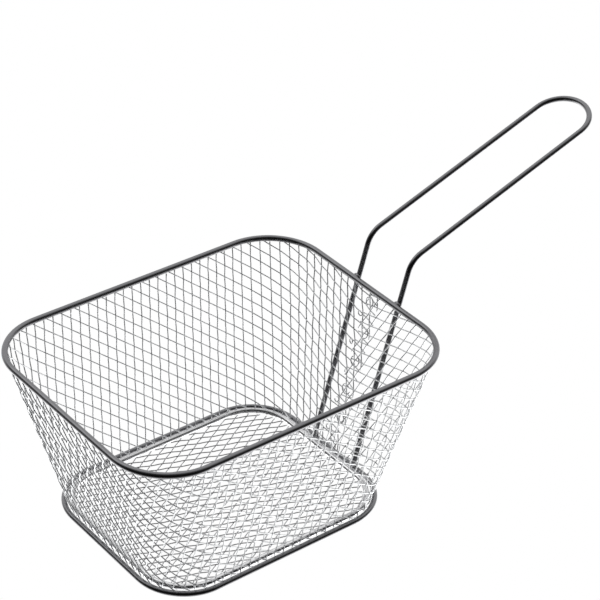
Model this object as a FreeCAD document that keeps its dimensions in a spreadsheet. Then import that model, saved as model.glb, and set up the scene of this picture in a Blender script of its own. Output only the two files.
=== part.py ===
import FreeCAD, Part
import math
import os

# Fry serving basket: a woven wire basket for one portion, with a long wire handle.
# Millimetres. +Z is up and +X points from the basket towards the handle.
# The origin is on the table, under the middle of the basket.

os.makedirs("parts", exist_ok=True)
doc = FreeCAD.newDocument("fry_basket")
Vector = FreeCAD.Vector

# Driving sizes
SIZES = {
    # rim ring, measured to the middle of its wire
    "rim_length": 128,
    "rim_width": 101,
    "rim_corner": 21.5,
    "rim_height": 65,
    "rim_wire": 2.2,
    # outer ring at the base, measured to the middle of its wire
    "base_length": 97.5,
    "base_width": 78.3,
    "base_corner": 19.3,
    "base_lift": 0.45,
    "base_wire": 2,
    "inner_wire": 2,
    # woven mesh: one layer is two crossing wires thick
    "mesh_wire": 0.5,
    "mesh_angle": 58,
    "lap_width": 6,
    "wall_cell": 18,
    "wall_bar": 2,
    "floor_cell": 12.5,
    "floor_bar": 1.6,
    "floor_turn": 4,
    "floor_edge": 1.5,
    "hem": 2,
    # handle, one bent wire
    "handle_wire": 2,
    "handle_spacing": 22.3,
    "handle_offset": -3.3,
    "bend_height": 81.5,
    "bend_radius": 8.5,
    "handle_length": 87.2,
    "handle_rise": 29.8,
}

sheet = doc.addObject("Spreadsheet::Sheet", "sizes")
for row, (alias, value) in enumerate(SIZES.items(), start=1):
    sheet.set(f"A{row}", alias)
    sheet.set(f"B{row}", str(value))
    sheet.setAlias(f"B{row}", alias)
doc.recompute()


def size(alias):
    return float(sheet.get(alias))


# Sizes that follow from the driving ones
mesh = 2 * size("mesh_wire")
base_height = size("base_lift") + size("base_wire") / 2
inner_height = mesh + size("inner_wire") / 2
wall_top = size("rim_height") - size("rim_wire") / 2
base_offset = (size("base_wire") + mesh) / 2


def lean(rim_size, base_size):
    """Angle from upright of a wall that passes the rim's middle and touches the base ring inside."""
    run = (size(rim_size) - size(base_size)) / 2
    rise = size("rim_height") - base_height
    return math.atan2(run, rise) + math.asin(base_offset / math.hypot(run, rise))


lean_x = lean("rim_length", "base_length")
lean_y = lean("rim_width", "base_width")


def wall_outline(height, offset):
    """Half length, half width and corner radius of the wall's middle face, moved outwards."""
    drop = size("rim_height") - height
    share = drop / (size("rim_height") - base_height)
    corner = size("rim_corner") + share * (size("base_corner") - base_offset - size("rim_corner"))
    half_length = size("rim_length") / 2 - drop * math.tan(lean_x) + offset / math.cos(lean_x)
    half_width = size("rim_width") / 2 - drop * math.tan(lean_y) + offset / math.cos(lean_y)
    return half_length, half_width, corner + offset


def rounded_wire(half_length, half_width, corner, height):
    """Closed wire of four sides and four corner arcs, starting on the +X side."""
    edges = []
    for turn, along, across in ((0, half_length, half_width), (90, half_width, half_length),
                                (180, half_length, half_width), (270, half_width, half_length)):
        spin = FreeCAD.Rotation(Vector(0, 0, 1), turn)
        start = Vector(along, corner - across, height)
        end = Vector(along, across - corner, height)
        diagonal = corner * math.sqrt(0.5)
        middle = Vector(along - corner + diagonal, across - corner + diagonal, height)
        finish = Vector(along - corner, across, height)
        edges.append(Part.makeLine(spin * start, spin * end))
        edges.append(Part.Arc(spin * end, spin * middle, spin * finish).toShape())
    return Part.Wire(edges)


# Wire rings
def ring(name, outline, height, wire_size):
    """Round wire ring swept along a rounded rectangle."""
    path = doc.addObject("Part::Feature", name + "_path")
    path.Shape = rounded_wire(*outline, height)
    section = doc.addObject("Part::Circle", name + "_section")
    section.setExpression("Radius", f"sizes.{wire_size} / 2")
    start = path.Shape.OrderedVertexes[0].Point
    section.Placement = FreeCAD.Placement(start, FreeCAD.Rotation(Vector(1, 0, 0), 90))
    sweep = doc.addObject("Part::Sweep", name)
    sweep.Sections = [section]
    sweep.Spine = (path, [f"Edge{n + 1}" for n in range(len(path.Shape.Edges))])
    sweep.Solid = True
    sweep.Label = name
    return sweep


def half_sizes(length, width, corner):
    return size(length) / 2, size(width) / 2, size(corner)


inner_outline = wall_outline(inner_height, -(size("inner_wire") + mesh) / 2)
rim_wire = ring("rim_wire", half_sizes("rim_length", "rim_width", "rim_corner"),
                size("rim_height"), "rim_wire")
base_wire_outer = ring("base_wire_outer", half_sizes("base_length", "base_width", "base_corner"),
                       base_height, "base_wire")
base_wire_inner = ring("base_wire_inner", inner_outline, inner_height, "inner_wire")


# Handle wire
def handle_side():
    """Foot, bend and loop points of one leg, seen from the side."""
    foot_ring = Vector(size("base_length") / 2, 0, base_height)
    rim = Vector(size("rim_length") / 2, 0, size("rim_height"))
    span = rim - foot_ring
    contact = (size("rim_wire") + size("handle_wire")) / 2
    angle = math.atan2(span.x, span.z) + math.asin(contact / span.Length)
    along = Vector(math.sin(angle), 0, math.cos(angle))
    foot = foot_ring + along * (size("base_wire") / 2)
    bend = foot_ring + along * ((size("bend_height") - base_height) / along.z)
    tip = bend + Vector(size("handle_length"), 0, size("handle_rise"))
    return foot, bend, tip


def handle_path():
    """Wire from one foot up, round the loop and down to the other foot."""
    foot, bend, tip = handle_side()
    half = size("handle_spacing") / 2
    down = (foot - bend).normalize()
    out = (tip - bend).normalize()
    opening = down.getAngle(out)
    reach = size("bend_radius") / math.tan(opening / 2)
    towards = (down + out).normalize()
    centre = bend + towards * (size("bend_radius") / math.sin(opening / 2))
    arc_points = (bend + down * reach, centre - towards * size("bend_radius"), bend + out * reach)
    loop = tip - out * half
    near = Vector(0, size("handle_offset") - half, 0)
    far = Vector(0, size("handle_offset") + half, 0)
    middle = Vector(0, size("handle_offset"), 0)

    def leg(side):
        points = [p + side for p in (foot, *arc_points, loop)]
        return [Part.makeLine(points[0], points[1]),
                Part.Arc(*points[1:4]).toShape(),
                Part.makeLine(points[3], points[4])]

    turn = Part.Arc(loop + near, tip + middle, loop + far).toShape()
    return Part.Wire(leg(near) + [turn] + leg(far)[::-1])


handle_spine = doc.addObject("Part::Feature", "handle_path")
handle_spine.Shape = handle_path()
handle_section = doc.addObject("Part::Circle", "handle_section")
handle_section.setExpression("Radius", "sizes.handle_wire / 2")
first_edge = handle_spine.Shape.OrderedEdges[0]
handle_section.Placement = FreeCAD.Placement(
    first_edge.Vertexes[0].Point,
    FreeCAD.Rotation(Vector(0, 0, 1), first_edge.Vertexes[1].Point - first_edge.Vertexes[0].Point))
handle_wire = doc.addObject("Part::Sweep", "handle_wire")
handle_wire.Sections = [handle_section]
handle_wire.Spine = (handle_spine, [f"Edge{n + 1}" for n in range(len(handle_spine.Shape.Edges))])
handle_wire.Solid = True
handle_wire.Transition = "Right corner"
handle_wire.Label = "handle_wire"


# Woven wall: a strip of mesh laid out flat, its bars set out there and put back on the wall
CORNER_FACETS = 8
SAME_POINT = 0.0001


def rulings(height):
    """Points round the wall at one height, from the seam clockwise and back to it."""
    half_length, half_width, corner = wall_outline(height, 0)
    seam = Vector(half_length, size("handle_offset"), height)
    points = [seam]
    for turn, along, across in ((0, half_length, half_width), (-90, half_width, half_length),
                                (-180, half_length, half_width), (-270, half_width, half_length)):
        spin = FreeCAD.Rotation(Vector(0, 0, 1), turn)
        centre = Vector(along - corner, corner - across, height)
        for step in range(CORNER_FACETS + 1):
            angle = math.radians(-90 * step / CORNER_FACETS)
            points.append(spin * (centre + Vector(corner * math.cos(angle), corner * math.sin(angle), 0)))
        if turn == -90:
            points.append(Vector(-half_length, 0, height))
    return points + [seam]


def ruling_normals():
    """Outward direction of the wall at each ruling."""
    spread = (size("rim_corner") - wall_outline(base_height, 0)[2]) / (size("rim_height") - base_height)
    across_x, across_y = math.tan(lean_x) - spread, math.tan(lean_y) - spread
    angles = [0]
    for quarter in range(4):
        angles += [-90 * (quarter + step / CORNER_FACETS) for step in range(CORNER_FACETS + 1)]
        if quarter == 1:
            angles.append(-180)
    normals = []
    for angle in angles + [-360]:
        x, y = math.cos(math.radians(angle)), math.sin(math.radians(angle))
        flare = across_x * abs(x) + across_y * abs(y) + spread
        normals.append(Vector(x, y, -flare).normalize())
    return normals


def third_corner(base, tip, from_base, from_tip):
    """Flat point on the right of the line from base to tip, from its two distances."""
    line = tip - base
    along = (from_base ** 2 - from_tip ** 2 + line.Length ** 2) / (2 * line.Length)
    aside = math.sqrt(max(from_base ** 2 - along ** 2, 0))
    line.normalize()
    return base + line * along + Vector(line.y, -line.x, 0) * aside


def lay_flat(low, high):
    """Flat pattern of the wall, with the ruling at the back of the basket upright."""
    flat_low = [Vector(0, 0, 0)]
    flat_high = [Vector(0, (high[0] - low[0]).Length, 0)]
    for n in range(len(low) - 1):
        flat_low.append(third_corner(flat_low[n], flat_high[n],
                                     (low[n + 1] - low[n]).Length, (low[n + 1] - high[n]).Length))
        flat_high.append(third_corner(flat_low[n + 1], flat_high[n],
                                      (high[n + 1] - low[n + 1]).Length, (high[n + 1] - high[n]).Length))
    upright = 2 * (CORNER_FACETS + 1) + 1
    line = flat_high[upright] - flat_low[upright]
    spin = FreeCAD.Rotation(line, Vector(0, 1, 0))
    shift = flat_low[upright]
    return [spin * (p - shift) for p in flat_low], [spin * (p - shift) for p in flat_high]


def slots(cell, bar, axis, first):
    """Flat edges of the slot next to each bar of one direction: a point and a direction across."""
    half_angle = size("mesh_angle") / 2
    along = math.radians(axis + half_angle if first else axis - half_angle)
    across = Vector(-math.sin(along), math.cos(along), 0)
    pitch = cell * math.sin(math.radians(2 * half_angle))
    reach = int(4 * size("rim_length") / pitch)
    return [(across * (pitch * n + bar / 2), across * (pitch * (n + 1) - bar / 2), across)
            for n in range(-reach, reach)]


def clipped(corners, point, across):
    """Part of a flat polygon that lies ahead of a line."""
    kept = []
    for n, here in enumerate(corners):
        before = corners[n - 1]
        ahead, ahead_before = (here - point).dot(across), (before - point).dot(across)
        if ahead * ahead_before < 0:
            kept.append(before + (here - before) * (ahead_before / (ahead_before - ahead)))
        if ahead >= 0:
            kept.append(here)
    return [p for n, p in enumerate(kept) if (p - kept[n - 1]).Length > SAME_POINT]


def polyhedron(faces):
    """Solid bounded by flat faces, each given by its corners."""
    shell = Part.makeShell([Part.Face(Part.makePolygon(list(face) + [face[0]])) for face in faces])
    shell.sewShape()
    return Part.makeSolid(shell)


def block_between(below, above):
    """Solid between two flat polygons, with each side that isn't flat as two triangles."""
    faces = [below, above]
    for k in range(len(below)):
        side = (below[k - 1], below[k], above[k], above[k - 1])
        square = (side[1] - side[0]).cross(side[3] - side[0]).normalize()
        if abs(square.dot(side[2] - side[0])) < SAME_POINT / 100:
            faces.append(side)
        else:
            faces += [side[:3], side[2:] + side[:1]]
    return polyhedron(faces)


def wall_cutters(first, inward, outward):
    """Solids that cut the slots between the bars of one direction, one for each slot and facet."""
    low, high = rulings(0), rulings(wall_top)
    flat_low, flat_high = lay_flat(low, high)
    normals = ruling_normals()
    blocks = []
    for n in range(len(low) - 1):
        facet = [flat_low[n], flat_high[n], flat_high[n + 1], flat_low[n + 1]]
        flat_x, flat_y = flat_low[n + 1] - flat_low[n], flat_high[n] - flat_low[n]
        solid_x, solid_y = low[n + 1] - low[n], high[n] - low[n]
        widening = (flat_high[n + 1] - flat_high[n]).Length / flat_x.Length - 1
        area = flat_x.x * flat_y.y - flat_x.y * flat_y.x
        facing = solid_y.cross(solid_x).normalize()
        steps = [normal / normal.dot(facing) for normal in normals[n:n + 2]]

        def on_wall(flat, offset):
            spot = flat - flat_low[n]
            share_x = (spot.x * flat_y.y - spot.y * flat_y.x) / area
            share_y = (flat_x.x * spot.y - flat_x.y * spot.x) / area
            share = share_x / (1 + share_y * widening)
            step = steps[0] * (1 - share) + steps[1] * share
            return low[n] + solid_x * share_x + solid_y * share_y + step * offset

        for start, stop, across in slots(size("wall_cell"), size("wall_bar"), 90, first):
            corners = clipped(clipped(facet, start, across), stop, -across)
            if len(corners) > 2:
                blocks.append(block_between([on_wall(p, inward) for p in corners],
                                            [on_wall(p, outward) for p in corners]))
    return blocks


def wall_ring(height, offset):
    """Corners of one face of the wall at a height, where its facets meet."""
    low, high = rulings(0), rulings(wall_top)
    faces = [(high[n] - low[n]).cross(low[n + 1] - low[n]).normalize() for n in range(len(low) - 1)]
    points = []
    for n in range(len(low) - 1):
        one, two = faces[n - 1], faces[n]
        start = low[n] + (one + two) * (offset / (1 + one.dot(two)))
        along = high[n] - low[n]
        points.append(start + along * ((height - start.z) / along.z))
    return points


def frustum(offset):
    """Solid under one face of the wall, from the table to the wall's top edge."""
    low, high = wall_ring(0, offset), wall_ring(wall_top, offset)
    return polyhedron([(low[n - 1], low[n], high[n], high[n - 1]) for n in range(len(low))] + [low, high])


def lapped_seam():
    """Second layer where the strip's ends lap, on the outside between the handle's legs."""
    half = size("lap_width") / 2
    above = wall_outline(wall_top, mesh / 2)[0]
    thick = mesh / math.cos(lean_x)
    foot = base_height + size("base_wire") / 2
    foot_x = wall_outline(foot, mesh / 2)[0]
    left = size("handle_offset") - half
    corners = [Vector(foot_x, left, foot), Vector(foot_x + thick, left, foot),
               Vector(above + thick, left, wall_top), Vector(above, left, wall_top)]
    return Part.Face(Part.makePolygon(corners + [corners[0]])).extrude(Vector(0, 2 * half, 0))


def solid_edges():
    """Ring at the foot and ring at the top of the wall, and the bar at the seam, that stay whole."""
    reach = size("rim_length") * 2
    hem = size("hem")
    foot = Part.makeBox(reach, reach, inner_height + hem, Vector(-reach / 2, -reach / 2, 0))
    top = Part.makeBox(reach, reach, 2 * hem, Vector(-reach / 2, -reach / 2, wall_top - hem))
    bar = size("wall_bar")
    seam = Part.makeBox(reach, bar, size("rim_height"), Vector(0, size("handle_offset") - bar / 2, 0))
    return foot.fuse([top, seam])


def woven_wall():
    """Outer bars of one direction laid over inner bars of the other, joined where they cross."""
    middle = frustum(0)
    whole = solid_edges()
    outer = frustum(mesh / 2).cut(middle).fuse(lapped_seam())
    inner = middle.cut(frustum(-mesh / 2))
    layers = []
    for layer, first, outward in ((outer, True, 2 * mesh), (inner, False, mesh)):
        bars = layer.cut(wall_cutters(first, -mesh, outward))
        layers.append(bars.fuse(layer.common(whole)))
    return layers[0].fuse(layers[1]).removeSplitter()


wall_mesh = doc.addObject("Part::Feature", "wall_mesh")
wall_mesh.Shape = woven_wall()
wall_mesh.Label = "wall_mesh"


# Woven floor, clamped under the inner ring
def woven_floor():
    """Lower bars of one direction and upper bars of the other, inside a whole edge."""
    outline = wall_outline(0, -mesh / 2)
    field_outline = [part - size("floor_edge") for part in inner_outline]
    layer_height = Vector(0, 0, mesh / 2)
    layers = []
    for level, first in ((0, True), (mesh / 2, False)):
        layer = Part.Face(rounded_wire(*outline, level)).extrude(layer_height)
        field = Part.Face(rounded_wire(*field_outline, level)).extrude(layer_height)
        strips = []
        for start, stop, across in slots(size("floor_cell"), size("floor_bar"), size("floor_turn"), first):
            along = Vector(across.y, -across.x, 0) * size("base_length")
            corners = [p + Vector(0, 0, level) for p in (start - along, start + along,
                                                         stop + along, stop - along)]
            strips.append(Part.Face(Part.makePolygon(corners + corners[:1])).extrude(layer_height))
        layers.append(layer.cut(Part.makeCompound(strips).common(field)))
    return layers[0].fuse(layers[1]).removeSplitter()


floor_mesh = doc.addObject("Part::Feature", "floor_mesh")
floor_mesh.Shape = woven_floor()
floor_mesh.Label = "floor_mesh"

doc.recompute()

# Check and write
NODES = [rim_wire, wall_mesh, floor_mesh, base_wire_outer, base_wire_inner, handle_wire]
for item in doc.Objects:
    if "Invalid" in item.State or "Error" in item.State:
        raise RuntimeError(f"{item.Label}: {item.State}")
for node in NODES:
    shape = node.Shape
    if not shape.isValid() or len(shape.Solids) != 1:
        raise RuntimeError(f"{node.Label}: valid {shape.isValid()}, {len(shape.Solids)} solids")
    box = shape.BoundBox
    print(f"{node.Label}: volume {shape.Volume:.1f}, faces {len(shape.Faces)}, "
          f"x {box.XMin:.2f} to {box.XMax:.2f}, y {box.YMin:.2f} to {box.YMax:.2f}, "
          f"z {box.ZMin:.2f} to {box.ZMax:.2f}")
    shape.exportStep(f"parts/{node.Label}.step")
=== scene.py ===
import math

import bmesh
import bpy
import numpy as np
from mathutils import Matrix, Quaternion, Vector


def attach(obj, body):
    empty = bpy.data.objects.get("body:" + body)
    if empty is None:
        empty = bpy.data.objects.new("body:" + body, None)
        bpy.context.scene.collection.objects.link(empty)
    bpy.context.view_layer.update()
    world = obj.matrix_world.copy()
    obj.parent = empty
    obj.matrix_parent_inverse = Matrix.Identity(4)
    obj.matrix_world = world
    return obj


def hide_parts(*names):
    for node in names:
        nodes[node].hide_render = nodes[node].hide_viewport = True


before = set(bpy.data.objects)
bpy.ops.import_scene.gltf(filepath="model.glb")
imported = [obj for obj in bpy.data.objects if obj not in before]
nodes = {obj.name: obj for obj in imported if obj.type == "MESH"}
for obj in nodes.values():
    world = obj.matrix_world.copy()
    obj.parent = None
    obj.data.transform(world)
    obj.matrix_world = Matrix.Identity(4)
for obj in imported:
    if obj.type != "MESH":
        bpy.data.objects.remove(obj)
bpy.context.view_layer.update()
scene = bpy.context.scene

MM = 0.001

# Basket form, in millimetres, as in the solids
RIM_LENGTH, RIM_WIDTH, RIM_CORNER, RIM_HEIGHT, RIM_WIRE = 128, 101, 21.5, 65, 2.2
BASE_LENGTH, BASE_WIDTH, BASE_CORNER, BASE_HEIGHT, BASE_WIRE = 97.5, 78.3, 19.3, 1.45, 2
HANDLE_OFFSET, HANDLE_SPACING, HANDLE_WIRE = -3.3, 22.3, 2
LAYER = 1
LAP = 6
LAP_RAMP = 4

# Weave
# Direction between the two families, angle between them, and cell length along each
WALL_WEAVE = (87.6, 56.6, 4.36, 4.36)
FLOOR_WEAVE = (4.2, 52.5, 4.2, 3.7)
# Strands and crossings set out to each side of the middle
WALL_REACH, FLOOR_REACH = 80, 45
WALL_TOP, WALL_FOOT = RIM_HEIGHT - 0.4, 0.3
MESH_WIRE = 0.45
# Rise and fall of each family, as shares of the wire
STIFF_CRIMP, SOFT_CRIMP = 0.3, 0.35

# Curled ends at the lap: radius, and place to the side of the basket's middle
WIDE_LOOP, TIGHT_CURL = (1.9, -3.2), (0.9, 0.4)
CURLS = 11
CURL_MARGIN = 4
CURL_DEPTH = 0.3
CURL_TURN = 300
# From one curl to the next: how far it strays sideways, and the turns of that and of its start
CURL_STRAY, STRAY_PHASE, START_PHASE = 0.8, 2.1, 2.4

# Fineness
SAMPLES = 4
SIDES = 6
FACETS = 12
CURL_STEP = 15
OVERSHOOT = 8

# Weld beads: radii outward, across and along the handle's leg
RIM_BEAD, FOOT_BEAD = (0.9, 1.8, 1.6), (1.2, 1.5, 0.8)

# Room
TOWARD_VIEWER = (-0.628, -0.778, 0)
TO_THE_RIGHT = (0.778, -0.628, 0)
# Places from straight down at 0 to straight up at 1, and the light from each
LOWEST_LIGHT, HIGHEST_LIGHT = 2.4, 0.9
HEIGHT_LIGHTS = ((0.14, 2.4), (0.25, 0.8), (0.42, 0.2), (0.72, 0.1), (0.84, 0.85))
# Share of the light that is left on the backdrop's side and on the viewer's
BACK_SHARE, FRONT_SHARE = 1.0, 0.04
# Share of the table's light in the middle of the view and far right, and the right's extra
MIDDLE_SHARE, RIGHT_SHARE, RIGHT_EXTRA = 0.15, 2.8, 0.17
# Panels: where each begins and is full, and its light
BACKDROP = (-0.2, -0.6, 0.8)
TABLE_UNDER = (-0.7, -0.95, 1.3)

# Camera: lengths in millimetres, angles in degrees, focal length in picture widths
FOCAL_LENGTH = 2282.9 / 600
SENSOR = 36
CAMERA_AIM, CAMERA_DISTANCE = (30.0, -4.04, 75.07), 779.46
AZIMUTH, ELEVATION, ROLL = -128.92, 33.69, 2.0


# Wall as a leaning rounded rectangle
def lean(rim_size, base_size):
    """Angle of the wall's middle face from upright, from the rim to the outer base ring's inside."""
    run = (rim_size - base_size) / 2
    rise = RIM_HEIGHT - BASE_HEIGHT
    gap = (BASE_WIRE + LAYER) / 2
    return math.atan2(run, rise) + math.asin(gap / math.hypot(run, rise))


LEAN_X = lean(RIM_LENGTH, BASE_LENGTH)
LEAN_Y = lean(RIM_WIDTH, BASE_WIDTH)


def outline(height):
    """Half length, half width and corner radius of the wall's middle face."""
    drop = RIM_HEIGHT - height
    share = drop / (RIM_HEIGHT - BASE_HEIGHT)
    gap = (BASE_WIRE + LAYER) / 2
    corner = RIM_CORNER + share * (BASE_CORNER - gap - RIM_CORNER)
    return (RIM_LENGTH / 2 - drop * math.tan(LEAN_X),
            RIM_WIDTH / 2 - drop * math.tan(LEAN_Y), corner)


def ruling_ends(height):
    """Points round the wall at one height, clockwise from one end of the strip to the other."""
    a, b, r = outline(height)
    points = [(a, HANDLE_OFFSET + LAP / 2)]
    for turn, along, across in ((0, a, b), (-90, b, a), (-180, a, b), (-270, b, a)):
        spin = math.radians(turn)
        for step in range(FACETS + 1):
            angle = math.radians(-90 * step / FACETS)
            x = along - r + r * math.cos(angle)
            y = r - across + r * math.sin(angle)
            points.append((x * math.cos(spin) - y * math.sin(spin),
                           x * math.sin(spin) + y * math.cos(spin)))
        if turn == -90:
            points.append((-a, 0))
    points.append((a, HANDLE_OFFSET - LAP / 2))
    return np.array([(x, y, height) for x, y in points])


def third_corner(base, tip, from_base, from_tip):
    """Corner of a flat triangle, to the right of the line from base to tip."""
    line = tip - base
    length = np.hypot(*line)
    along = (from_base ** 2 - from_tip ** 2 + length ** 2) / (2 * length)
    aside = math.sqrt(max(from_base ** 2 - along ** 2, 0))
    line = line / length
    return base + line * along + np.array((line[1], -line[0])) * aside


def lay_flat(low, high):
    """Flat pattern of the wall, with the ruling opposite the seam upright."""
    def gap(p, q):
        return np.linalg.norm(p - q)

    flat_low = [np.zeros(2)]
    flat_high = [np.array((0, gap(high[0], low[0])))]
    for n in range(len(low) - 1):
        flat_low.append(third_corner(flat_low[n], flat_high[n],
                                     gap(low[n + 1], low[n]), gap(low[n + 1], high[n])))
        flat_high.append(third_corner(flat_low[n + 1], flat_high[n],
                                      gap(high[n + 1], low[n + 1]), gap(high[n + 1], high[n])))
    upright = 2 * (FACETS + 1) + 1
    line = flat_high[upright] - flat_low[upright]
    turn = math.pi / 2 - math.atan2(line[1], line[0])
    spin = np.array(((math.cos(turn), -math.sin(turn)), (math.sin(turn), math.cos(turn))))
    shift = flat_low[upright]
    return (np.array([spin @ (p - shift) for p in flat_low]),
            np.array([spin @ (p - shift) for p in flat_high]))


LOW, HIGH = ruling_ends(-OVERSHOOT), ruling_ends(RIM_HEIGHT + OVERSHOOT)
FLAT_LOW, FLAT_HIGH = lay_flat(LOW, HIGH)


def wall_normals():
    """Outward unit normal at each ruling, averaged over the facets beside it."""
    across = LOW[1:] - LOW[:-1]
    faces = np.cross(HIGH[:-1] - LOW[:-1], across)
    faces /= np.linalg.norm(faces, axis=1)[:, None]
    ends = np.vstack((faces[:1], faces[:-1] + faces[1:], faces[-1:]))
    return ends / np.linalg.norm(ends, axis=1)[:, None]


NORMALS = wall_normals()


def on_wall(spots):
    """Points and normals on the wall for flat spots, and the facet of each or -1 outside."""
    count = len(spots)
    points = np.zeros((count, 3))
    normals = np.zeros((count, 3))
    facet = np.full(count, -1)
    for n in range(len(LOW) - 1):
        base = FLAT_LOW[n]
        flat_x = FLAT_LOW[n + 1] - base
        flat_y = FLAT_HIGH[n] - base
        ratio = np.linalg.norm(FLAT_HIGH[n + 1] - FLAT_HIGH[n]) / np.linalg.norm(flat_x)
        area = flat_x[0] * flat_y[1] - flat_x[1] * flat_y[0]
        spot = spots - base
        share_x = (spot[:, 0] * flat_y[1] - spot[:, 1] * flat_y[0]) / area
        share_y = (flat_x[0] * spot[:, 1] - flat_x[1] * spot[:, 0]) / area
        along = share_x / (1 + share_y * (ratio - 1))
        here = (share_y >= 0) & (share_y <= 1) & (along >= 0) & (along <= 1) & (facet < 0)
        facet[here] = n
        u, v = along[here][:, None], share_y[here][:, None]
        left = LOW[n] + (HIGH[n] - LOW[n]) * v
        right = LOW[n + 1] + (HIGH[n + 1] - LOW[n + 1]) * v
        points[here] = left + (right - left) * u
        blend = NORMALS[n] * (1 - u) + NORMALS[n + 1] * u
        normals[here] = blend / np.linalg.norm(blend, axis=1)[:, None]
    return points, normals, facet


# Pieces
def smooth(mesh):
    mesh.polygons.foreach_set("use_smooth", [True] * len(mesh.polygons))


def new_piece(name, mesh):
    smooth(mesh)
    piece = bpy.data.objects.new(name, mesh)
    scene.collection.objects.link(piece)
    return piece


def tube(points, normals, radius):
    """Vertices and faces of a round wire along points, with closed ends."""
    along = np.gradient(points, axis=0)
    along /= np.linalg.norm(along, axis=1)[:, None]
    side = np.cross(along, normals)
    side /= np.linalg.norm(side, axis=1)[:, None]
    up = np.cross(side, along)
    turns = np.arange(SIDES) * 2 * math.pi / SIDES
    rings = (points[:, None, :] + radius * (up[:, None, :] * np.cos(turns)[None, :, None]
                                            + side[:, None, :] * np.sin(turns)[None, :, None]))
    count = len(points)
    ring = np.arange(count - 1)[:, None] * SIDES
    here = np.arange(SIDES)[None, :]
    after = (here + 1) % SIDES
    corners = (ring + here, ring + SIDES + here, ring + SIDES + after, ring + after)
    quads = np.stack(corners, axis=-1)
    caps = [list(range(SIDES)), list(range((count - 1) * SIDES, count * SIDES))[::-1]]
    return rings.reshape(-1, 3), quads.reshape(-1, 4), caps


def wires(name, strands):
    """One piece holding a round wire for each strand of points and normals."""
    vertices, faces, offset = [], [], 0
    for points, normals in strands:
        verts, quads, caps = tube(points, normals, MESH_WIRE / 2)
        vertices.append(verts)
        faces += (quads + offset).tolist() + [[v + offset for v in cap] for cap in caps]
        offset += len(verts)
    mesh = bpy.data.meshes.new(name)
    mesh.from_pydata((np.vstack(vertices) * MM).tolist(), [], faces)
    mesh.update()
    return new_piece(name, mesh)


def family(weave, first):
    """Step between neighbouring strands, and step between crossings along one strand."""
    axis, half = math.radians(weave[0]), math.radians(weave[1] / 2)
    one = np.array((math.cos(axis + half), math.sin(axis + half))) * weave[3]
    two = np.array((math.cos(axis - half), math.sin(axis - half))) * weave[2]
    return (one, two) if first else (two, one)


def strand_spots(weave, reach, first):
    """Each strand's flat spots, with its number and its place in crossings at each spot."""
    next_strand, next_crossing = family(weave, first)
    steps = np.arange(-reach * SAMPLES, reach * SAMPLES + 1) / SAMPLES
    for index in range(-reach, reach + 1):
        yield index, steps, next_strand * index + next_crossing * steps[:, None]


def weave_height(index, steps, first):
    """Height of a strand over the middle of the sheet, over one crossing and under the next."""
    wave = np.cos(math.pi * (index + steps)) * MESH_WIRE
    return wave * STIFF_CRIMP if first else -wave * SOFT_CRIMP


def kept_runs(points, normals, keep):
    """The unbroken stretches of one strand that are kept and longer than one cell."""
    edges = np.flatnonzero(np.diff(np.concatenate(([0], keep.astype(int), [0]))))
    return [(points[start:stop], normals[start:stop])
            for start, stop in zip(edges[::2], edges[1::2]) if stop - start > SAMPLES]


def lap_lift(points, facet):
    """How far the strip's last end stands out to clear its first end under the lap."""
    last = facet >= len(LOW) - 3
    share = np.clip((HANDLE_OFFSET + LAP / 2 + LAP_RAMP - points[:, 1]) / LAP_RAMP, 0, 1)
    share = share * share * (3 - 2 * share)
    return np.where(last & (points[:, 0] > 0), share * LAYER, 0)


def wall_strands(first):
    strands = []
    for index, steps, spots in strand_spots(WALL_WEAVE, WALL_REACH, first):
        points, normals, facet = on_wall(spots)
        keep = (facet >= 0) & (points[:, 2] > WALL_FOOT) & (points[:, 2] < WALL_TOP)
        lift = weave_height(index, steps, first) + lap_lift(points, facet)
        strands += kept_runs(points + normals * lift[:, None], normals, keep)
    return strands


def in_outline(spots, half_length, half_width, corner):
    inward = np.abs(spots) - (half_length - corner, half_width - corner)
    return np.hypot(*np.maximum(inward, 0).T) + np.minimum(np.max(inward, axis=1), 0) < corner


def floor_strands(first):
    edge = [size - LAYER for size in outline(0)]
    strands = []
    for index, steps, spots in strand_spots(FLOOR_WEAVE, FLOOR_REACH, first):
        points = np.column_stack((spots, LAYER / 2 + weave_height(index, steps, first)))
        normals = np.tile((0.0, 0.0, 1.0), (len(points), 1))
        strands += kept_runs(points, normals, in_outline(spots, *edge))
    return strands


def seam_curls():
    """Cut ends hooked back over the lap, wide loops and tight curls in turn."""
    up = np.array((math.sin(LEAN_X), 0, math.cos(LEAN_X)))
    across = np.array((0.0, 1.0, 0.0))
    outward = np.array((math.cos(LEAN_X), 0, -math.sin(LEAN_X)))
    turn = np.radians(np.arange(0, CURL_TURN + 1, CURL_STEP))
    depth = CURL_DEPTH * (1 - 2 * turn / turn[-1])
    strands = []
    for step in range(CURLS):
        height = CURL_MARGIN + (WALL_TOP - 2 * CURL_MARGIN) * step / (CURLS - 1)
        radius, aside = TIGHT_CURL if step % 2 else WIDE_LOOP
        aside += CURL_STRAY * math.sin(STRAY_PHASE * step)
        middle = np.array((outline(height)[0], aside, height))
        start = START_PHASE * step
        points = (middle + depth[:, None] * outward
                  + radius * (np.cos(turn + start)[:, None] * across
                              + np.sin(turn + start)[:, None] * up))
        strands.append((points, np.tile(outward, (len(points), 1))))
    return strands


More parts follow.
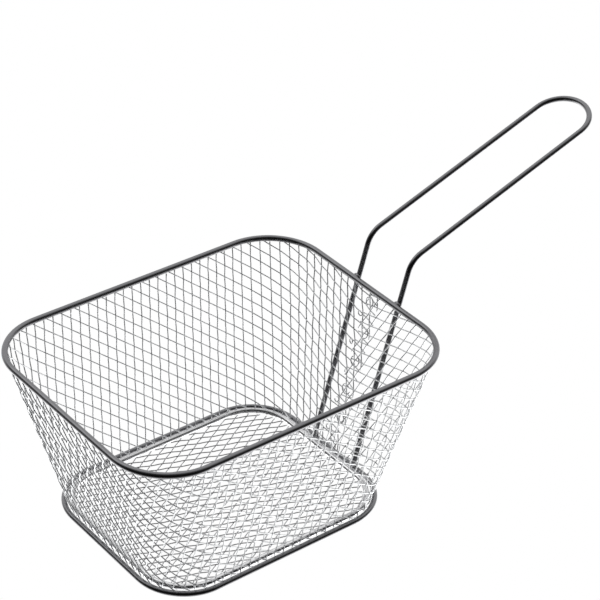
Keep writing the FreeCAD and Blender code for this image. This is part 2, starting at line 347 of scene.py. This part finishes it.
def welds(name):
    """Small beads of weld where each leg passes the rim and stands on the outer ring."""
    foot = Vector((BASE_LENGTH / 2, 0, BASE_HEIGHT))
    rim = Vector((RIM_LENGTH / 2, 0, RIM_HEIGHT))
    span = rim - foot
    tilt = math.atan2(span.x, span.z) + math.asin((RIM_WIRE + HANDLE_WIRE) / 2 / span.length)
    up = Vector((math.sin(tilt), 0, math.cos(tilt)))
    across = Vector((0, 1, 0))
    outward = Vector((math.cos(tilt), 0, -math.sin(tilt)))
    beads = ((rim + outward * RIM_WIRE / 2, RIM_BEAD), (foot + up * BASE_WIRE / 2, FOOT_BEAD))
    shape = bmesh.new()
    for side in (-HANDLE_SPACING / 2, HANDLE_SPACING / 2):
        for place, (deep, wide, tall) in beads:
            axes = Matrix((outward * deep, across * wide, up * tall)).transposed()
            spot = Matrix.Translation((place + across * (HANDLE_OFFSET + side)) * MM)
            bmesh.ops.create_uvsphere(shape, u_segments=20, v_segments=12, radius=MM,
                                      matrix=spot @ axes.to_4x4())
    mesh = bpy.data.meshes.new(name)
    shape.to_mesh(mesh)
    shape.free()
    return new_piece(name, mesh)


# Materials
def add_node(tree, kind, sockets=None, **settings):
    """A new node, each named or numbered socket set to a value or linked to an output."""
    node = tree.nodes.new("ShaderNode" + kind)
    for name, value in settings.items():
        setattr(node, name, value)
    for key, source in (sockets or {}).items():
        if isinstance(source, bpy.types.NodeSocket):
            tree.links.new(source, node.inputs[key])
        else:
            node.inputs[key].default_value = source
    return node


def metal(name, color, roughness, patch):
    """Bright plated wire, a little uneven in shade and polish along its length."""
    material = bpy.data.materials.new(name)
    material.use_nodes = True
    tree = material.node_tree
    shader = tree.nodes["Principled BSDF"]
    shader.inputs["Metallic"].default_value = 1
    place = add_node(tree, "TexCoord").outputs["Object"]
    noise = add_node(tree, "TexNoise", {"Vector": place, "Scale": patch, "Detail": 3})
    unevenness = noise.outputs["Fac"]
    tone = add_node(tree, "MapRange", {"Value": unevenness, "To Min": 0.85, "To Max": 1.15})
    tint = add_node(tree, "VectorMath", {0: color, "Scale": tone.outputs["Result"]},
                    operation="SCALE")
    tree.links.new(tint.outputs["Vector"], shader.inputs["Base Color"])
    polish = add_node(tree, "MapRange", {"Value": unevenness, "To Min": roughness * 0.8,
                                         "To Max": roughness * 1.2})
    tree.links.new(polish.outputs["Result"], shader.inputs["Roughness"])
    return material


frame_metal = metal("frame_wire", (0.26, 0.26, 0.27), 0.28, 180)
ring_metal = metal("inner_ring", (0.88, 0.88, 0.89), 0.12, 180)
mesh_metal = metal("woven_mesh", (0.84, 0.85, 0.86), 0.32, 260)
floor_metal = metal("floor_weave", (0.55, 0.55, 0.56), 0.3, 260)


def dress(piece, material):
    piece.data.materials.clear()
    piece.data.materials.append(material)


for name in ("rim_wire", "base_wire_outer", "base_wire_inner", "handle_wire"):
    wire = nodes[name]
    smooth(wire.data)
    dress(wire, ring_metal if name == "base_wire_inner" else frame_metal)

for first, name in ((True, "wall_weave_one"), (False, "wall_weave_two")):
    piece = wires(name, wall_strands(first))
    dress(piece, mesh_metal)
    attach(piece, "root")
    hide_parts("wall_mesh")

for first, name in ((True, "floor_weave_one"), (False, "floor_weave_two")):
    piece = wires(name, floor_strands(first))
    dress(piece, floor_metal)
    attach(piece, "root")
    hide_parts("floor_mesh")

curls = wires("seam_curls", seam_curls())
dress(curls, mesh_metal)
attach(curls, "root")

beads = welds("weld_beads")
dress(beads, frame_metal)
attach(beads, "root")


def gray(shade):
    return (shade, shade, shade, 1)


def light_by_height(tree, up):
    """Light from each height: the table, a dark middle and the ceiling."""
    height = add_node(tree, "MapRange", {"Value": up, "From Min": -1})
    ramp = add_node(tree, "ValToRGB", {"Fac": height.outputs["Result"]})
    stops = ramp.color_ramp.elements
    stops[0].color, stops[1].color = gray(LOWEST_LIGHT), gray(HIGHEST_LIGHT)
    for position, shade in HEIGHT_LIGHTS:
        stops.new(position).color = gray(shade)
    return ramp.outputs["Color"]


def table_share(tree, direction, up):
    """Below, the table is bright to the left and right of the view, and more so to the right."""
    sideways = add_node(tree, "VectorMath", {0: direction, 1: TO_THE_RIGHT},
                        operation="DOT_PRODUCT").outputs["Value"]
    spread = add_node(tree, "Math", {0: sideways}, operation="ABSOLUTE")
    rightward = add_node(tree, "Math", {0: sideways, 1: RIGHT_EXTRA, 2: spread.outputs["Value"]},
                         operation="MULTIPLY_ADD")
    light = add_node(tree, "MapRange", {"Value": rightward.outputs["Value"],
                                        "From Max": 1 + RIGHT_EXTRA,
                                        "To Min": MIDDLE_SHARE, "To Max": RIGHT_SHARE})
    below = add_node(tree, "MapRange", {"Value": up, "From Min": -0.1, "From Max": -0.35})
    share = add_node(tree, "Mix", {0: below.outputs["Result"], 2: 1, 3: light.outputs["Result"]})
    return share.outputs[0]


def at_least(tree, light, value, start, full, most):
    """Light raised to at least a panel's, which grows from start to full."""
    panel = add_node(tree, "MapRange", {"Value": value, "From Min": start, "From Max": full,
                                        "To Max": most})
    raised = add_node(tree, "VectorMath", {0: light, 1: panel.outputs["Result"]},
                      operation="MAXIMUM")
    return raised.outputs["Vector"]


def room():
    """White seen by the camera, and soft panels with dark between them in reflections."""
    world = bpy.data.worlds.new("room")
    world.use_nodes = True
    tree = world.node_tree
    direction = add_node(tree, "TexCoord").outputs["Generated"]
    up = add_node(tree, "SeparateXYZ", {"Vector": direction}).outputs["Z"]
    frontal = add_node(tree, "VectorMath", {0: direction, 1: TOWARD_VIEWER},
                       operation="DOT_PRODUCT").outputs["Value"]
    # The backdrop's side is bright, and the viewer's side is dark
    side_light = add_node(tree, "MapRange", {"Value": frontal, "From Min": -0.5, "From Max": 0.5,
                                             "To Min": BACK_SHARE, "To Max": FRONT_SHARE},
                          interpolation_type="SMOOTHSTEP")
    strength = add_node(tree, "Math", {0: side_light.outputs["Result"],
                                       1: table_share(tree, direction, up)}, operation="MULTIPLY")
    light = add_node(tree, "VectorMath", {0: light_by_height(tree, up),
                                          "Scale": strength.outputs["Value"]},
                     operation="SCALE").outputs["Vector"]
    # The backdrop behind the basket, and the table right under it
    light = at_least(tree, light, frontal, *BACKDROP)
    light = at_least(tree, light, up, *TABLE_UNDER)
    seen = add_node(tree, "LightPath").outputs["Is Camera Ray"]
    mix = add_node(tree, "Mix", {0: seen, 6: light, 7: gray(1)}, data_type="RGBA")
    tree.links.new(mix.outputs[2], tree.nodes["Background"].inputs["Color"])
    return world


def lamp(name, place, aim, width, power):
    data = bpy.data.lights.new(name, "AREA")
    data.shape = "SQUARE"
    data.size = width
    data.energy = power
    light = bpy.data.objects.new(name, data)
    light.location = place
    light.rotation_mode = "QUATERNION"
    light.rotation_quaternion = (Vector(aim) - Vector(place)).to_track_quat("-Z", "Y")
    scene.collection.objects.link(light)


def photo_camera():
    """Camera as in the photograph."""
    data = bpy.data.cameras.new("camera")
    data.sensor_width = SENSOR
    data.lens = FOCAL_LENGTH * SENSOR
    data.clip_start, data.clip_end = 0.05, 10
    camera = bpy.data.objects.new("camera", data)
    azimuth, elevation = math.radians(AZIMUTH), math.radians(ELEVATION)
    back = Vector((math.cos(elevation) * math.cos(azimuth),
                   math.cos(elevation) * math.sin(azimuth), math.sin(elevation)))
    camera.location = (Vector(CAMERA_AIM) + back * CAMERA_DISTANCE) * MM
    camera.rotation_mode = "QUATERNION"
    roll = Quaternion(back, math.radians(ROLL))
    camera.rotation_quaternion = roll @ (-back).to_track_quat("-Z", "Y")
    scene.collection.objects.link(camera)
    return camera


scene.world = room()
lamp("key", (-0.3, 0.5, 0.7), (0, 0, 0.03), 0.5, 0.4)
scene.camera = photo_camera()
scene.view_settings.view_transform = "Standard"
